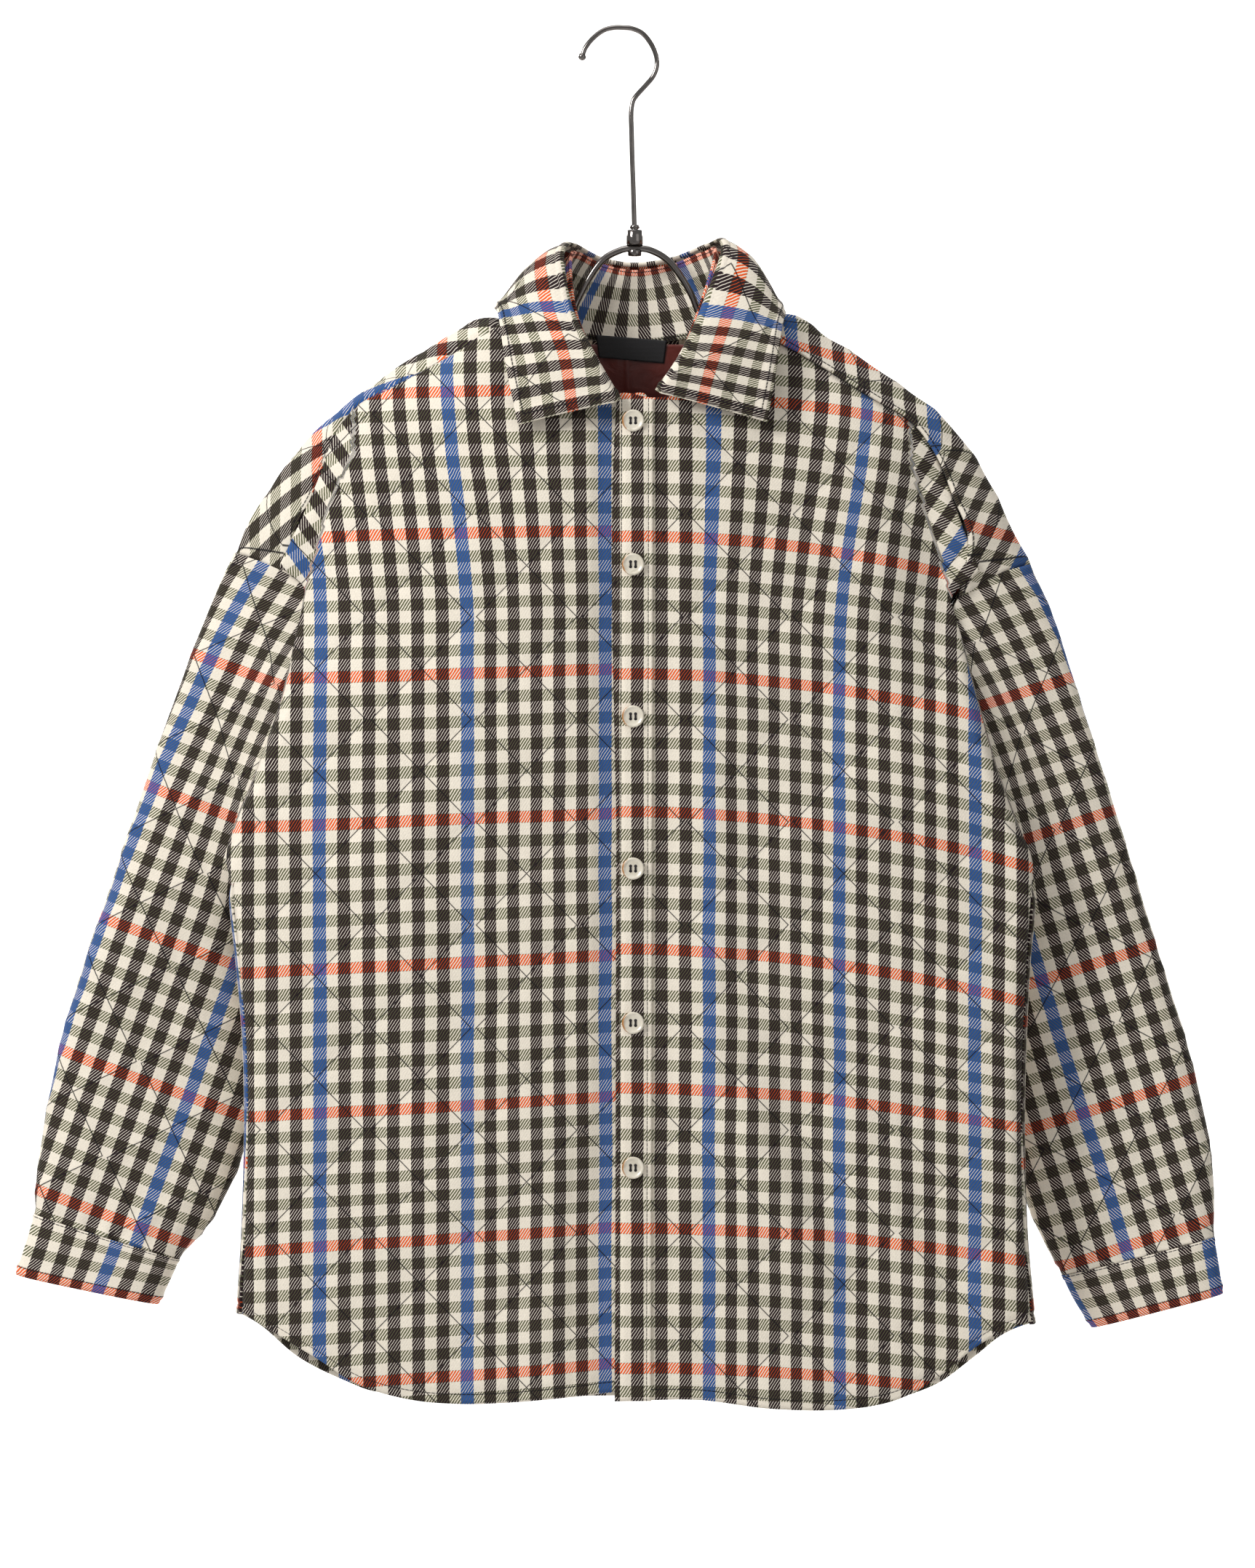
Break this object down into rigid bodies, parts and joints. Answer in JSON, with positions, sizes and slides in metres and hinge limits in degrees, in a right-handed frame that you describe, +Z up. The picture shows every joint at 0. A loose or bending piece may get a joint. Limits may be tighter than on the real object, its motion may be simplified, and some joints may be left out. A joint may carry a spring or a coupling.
{
  "type": "quilted check overshirt on a metal-hook clothes hanger",
  "caption": "Button-front quilted check overshirt with dropped sleeves, turned-down collar and shirt-tail hem, hanging flat on a metal-hook hanger.",
  "frame": {"origin": "inside top of the hanger's hook, where a rail or wall hook carries it", "axes": "+Z up, -Y out of the garment's front, +X to the viewer's right"},
  "size_m": [0.835, 0.1015, 0.9554],
  "materials": {
    "check_twill": "brushed cotton twill in a cream, charcoal, olive, blue and orange check, quilted in diamonds",
    "rust_lining": "smooth satin lining",
    "black_label": "plain woven label",
    "horn_button": "polished horn-look resin with an amber rim",
    "dark_steel": "dark polished nickel"
  },
  "bodies": {
    "root": {"front_left": "check_twill", "front_right": "check_twill", "button_band": "check_twill", "back": "check_twill", "yoke": "check_twill", "sleeve_left": "check_twill", "sleeve_right": "check_twill", "cuff_left": "check_twill", "cuff_right": "check_twill", "collar": "check_twill", "collar_stand": "check_twill", "neck_lining": "rust_lining", "neck_label": "black_label", "button_1": "horn_button", "button_2": "horn_button", "button_3": "horn_button", "button_4": "horn_button", "button_5": "horn_button", "button_6": "horn_button", "hanger_hook": "dark_steel", "hanger_ferrule": "dark_steel", "hanger_bow": "dark_steel"}
  },
  "joints": []
}
